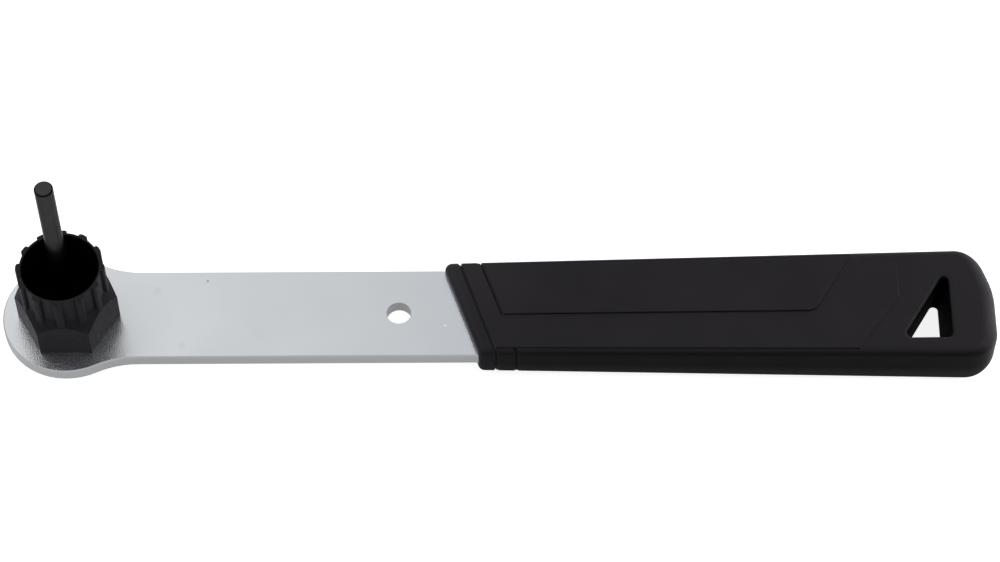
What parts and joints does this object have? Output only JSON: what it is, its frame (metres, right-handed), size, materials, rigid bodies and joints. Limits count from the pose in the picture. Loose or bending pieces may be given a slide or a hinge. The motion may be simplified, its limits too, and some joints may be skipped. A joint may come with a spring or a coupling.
{
  "type": "cassette lockring tool",
  "caption": "Flat steel bar with a round head that carries a splined lockring socket and guide pin, and a moulded grip with a hanging hole.",
  "frame": {"origin": "socket's axis at the bar's top face, where the hexagon stands", "axes": "+X along the bar to the grip, +Z along the guide pin away from the bar, +Y across the bar"},
  "size_m": [0.2692, 0.036, 0.0713],
  "materials": {
    "satin_steel": "satin zinc-plated steel",
    "black_oxide": "black oxide, dull",
    "dark_pin": "dark grey oxide on ground steel",
    "grip_plastic": "fine-grained black moulding"
  },
  "bodies": {
    "root": {"steel_bar": "satin_steel", "lockring_socket": "black_oxide", "guide_pin": "dark_pin", "grip": "grip_plastic"}
  },
  "joints": []
}
